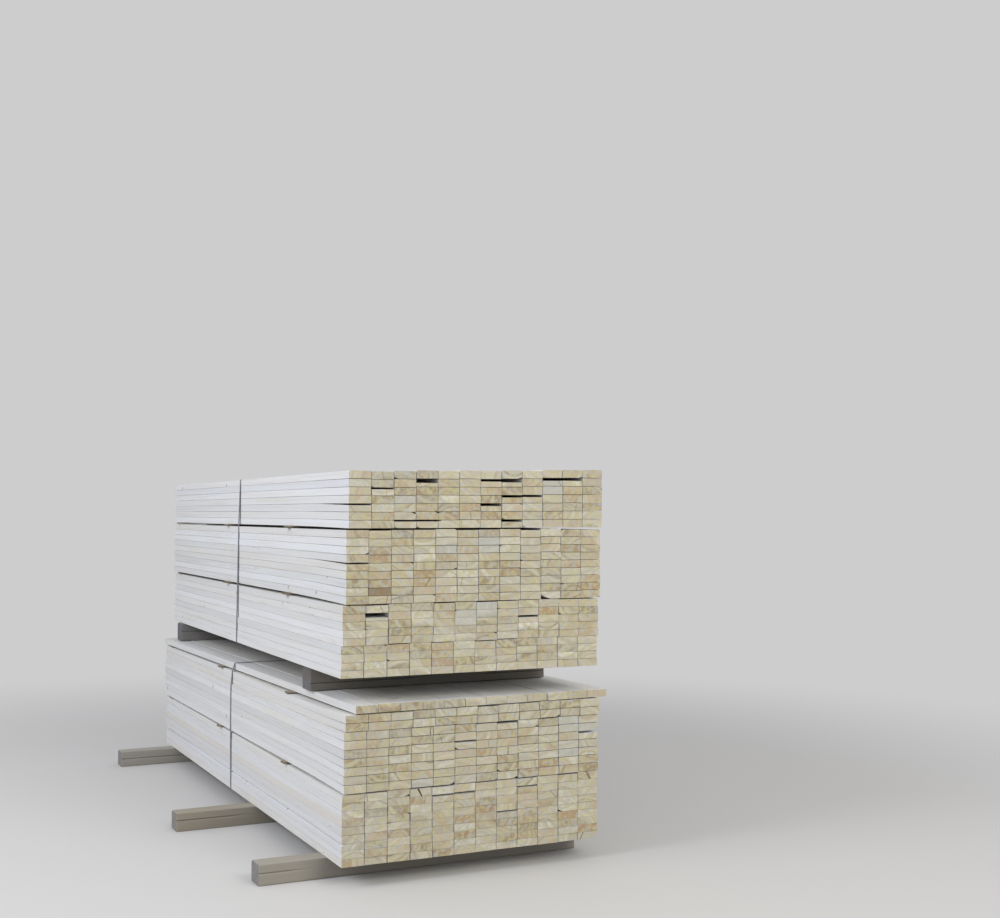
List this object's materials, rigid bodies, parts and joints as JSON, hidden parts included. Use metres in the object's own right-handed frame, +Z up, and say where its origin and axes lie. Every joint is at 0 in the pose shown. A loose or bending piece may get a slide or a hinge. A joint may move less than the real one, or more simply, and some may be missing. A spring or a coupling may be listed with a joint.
{
  "type": "stack of lumber",
  "caption": "Strapped packs of sawn softwood boards stacked with timber bearers between and below, and thin laths across between the bundles.",
  "frame": {"origin": "on the floor, under the centre of the stack's overall box", "axes": "+Z up; +Y along the boards, from their even ends to their uneven ones; +X across the packs, away from the side where the ground bearers stick out"},
  "size_m": [1.6658, 3.4314, 1.7484],
  "materials": {
    "sawn_boards": "fresh sawn softwood",
    "laths": "rough sawn softwood",
    "bearers": "weathered rough sawn timber",
    "steel_straps": "dull galvanised steel strapping"
  },
  "bodies": {
    "root": {"ground_bearer_far": "bearers", "ground_bearer_middle": "bearers", "ground_bearer_near": "bearers", "lower_pack_laths_1": "laths", "lower_pack_laths_2": "laths", "lower_pack_row_01": "sawn_boards", "lower_pack_row_02": "sawn_boards", "lower_pack_row_03": "sawn_boards", "lower_pack_row_04": "sawn_boards", "lower_pack_row_05": "sawn_boards", "lower_pack_row_06": "sawn_boards", "lower_pack_row_07": "sawn_boards", "lower_pack_row_08": "sawn_boards", "lower_pack_row_09": "sawn_boards", "lower_pack_row_10": "sawn_boards", "lower_pack_row_11": "sawn_boards", "lower_pack_row_12": "sawn_boards", "lower_pack_row_13": "sawn_boards", "lower_pack_row_14": "sawn_boards", "lower_pack_row_15": "sawn_boards", "lower_pack_row_16": "sawn_boards", "lower_pack_row_17": "sawn_boards", "lower_pack_row_18": "sawn_boards", "lower_pack_row_19": "sawn_boards", "lower_pack_strap": "steel_straps", "middle_bearer_far": "bearers", "middle_bearer_near": "bearers", "upper_pack_laths_1": "laths", "upper_pack_laths_2": "laths", "upper_pack_row_01": "sawn_boards", "upper_pack_row_02": "sawn_boards", "upper_pack_row_03": "sawn_boards", "upper_pack_row_04": "sawn_boards", "upper_pack_row_05": "sawn_boards", "upper_pack_row_06": "sawn_boards", "upper_pack_row_07": "sawn_boards", "upper_pack_row_08": "sawn_boards", "upper_pack_row_09": "sawn_boards", "upper_pack_row_10": "sawn_boards", "upper_pack_row_11": "sawn_boards", "upper_pack_row_12": "sawn_boards", "upper_pack_row_13": "sawn_boards", "upper_pack_row_14": "sawn_boards", "upper_pack_row_15": "sawn_boards", "upper_pack_row_16": "sawn_boards", "upper_pack_row_17": "sawn_boards", "upper_pack_row_18": "sawn_boards", "upper_pack_row_19": "sawn_boards", "upper_pack_row_20": "sawn_boards", "upper_pack_row_21": "sawn_boards", "upper_pack_row_22": "sawn_boards", "upper_pack_row_23": "sawn_boards", "upper_pack_row_24": "sawn_boards", "upper_pack_row_25": "sawn_boards", "upper_pack_strap": "steel_straps"}
  },
  "joints": []
}
